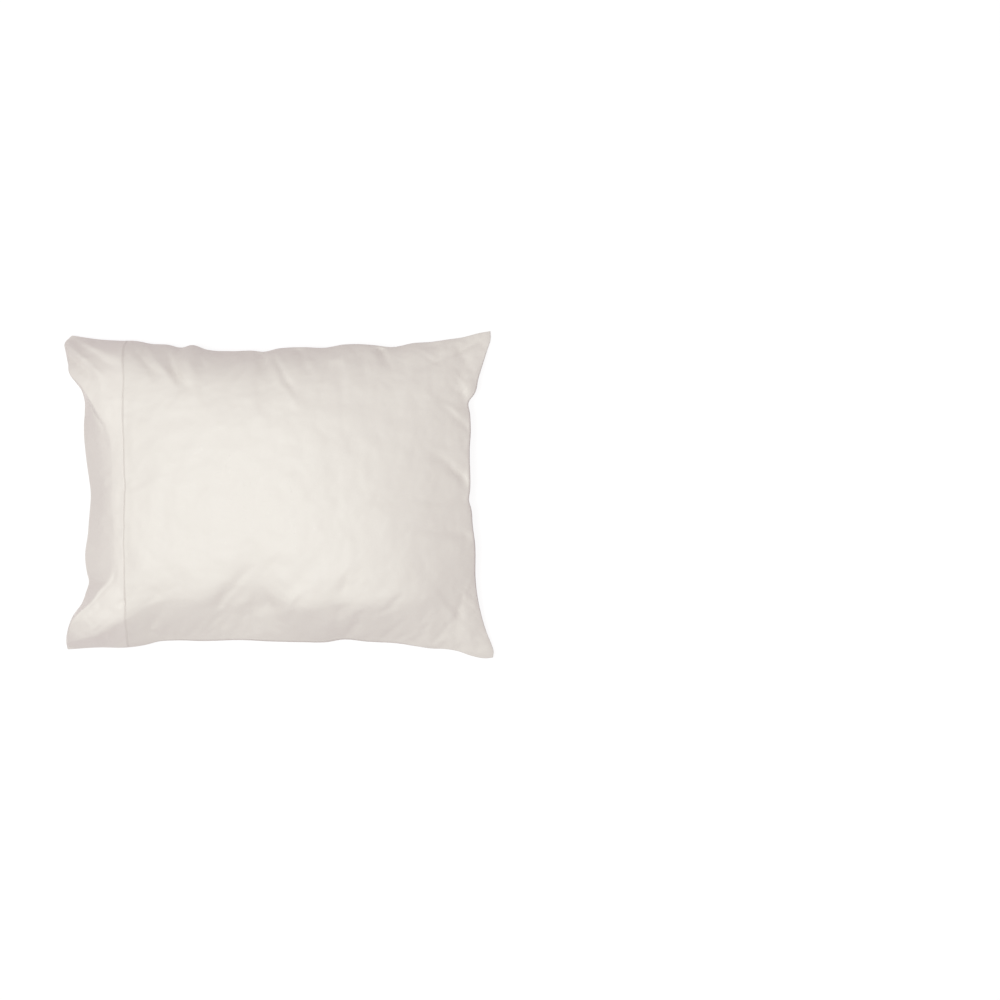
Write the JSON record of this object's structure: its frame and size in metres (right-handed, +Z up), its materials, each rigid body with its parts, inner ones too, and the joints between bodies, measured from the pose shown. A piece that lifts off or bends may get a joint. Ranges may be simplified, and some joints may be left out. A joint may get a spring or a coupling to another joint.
{
  "type": "filled pillowcase",
  "caption": "Filled rectangular pillowcase lying on its back, with a deep hemmed open end, drawn-in seams, flat corner ears and soft puckers.",
  "frame": {"origin": "middle of the outline seen from above, on the surface that the case lies on", "axes": "+X runs from the open hemmed end to the closed end, +Y across the case, +Z up out of the crown"},
  "size_m": [0.6592, 0.506, 0.1567],
  "materials": {
    "cotton_cloth": "smooth matt woven cotton, warm off-white"
  },
  "bodies": {
    "root": {"pillowcase": "cotton_cloth"}
  },
  "joints": []
}
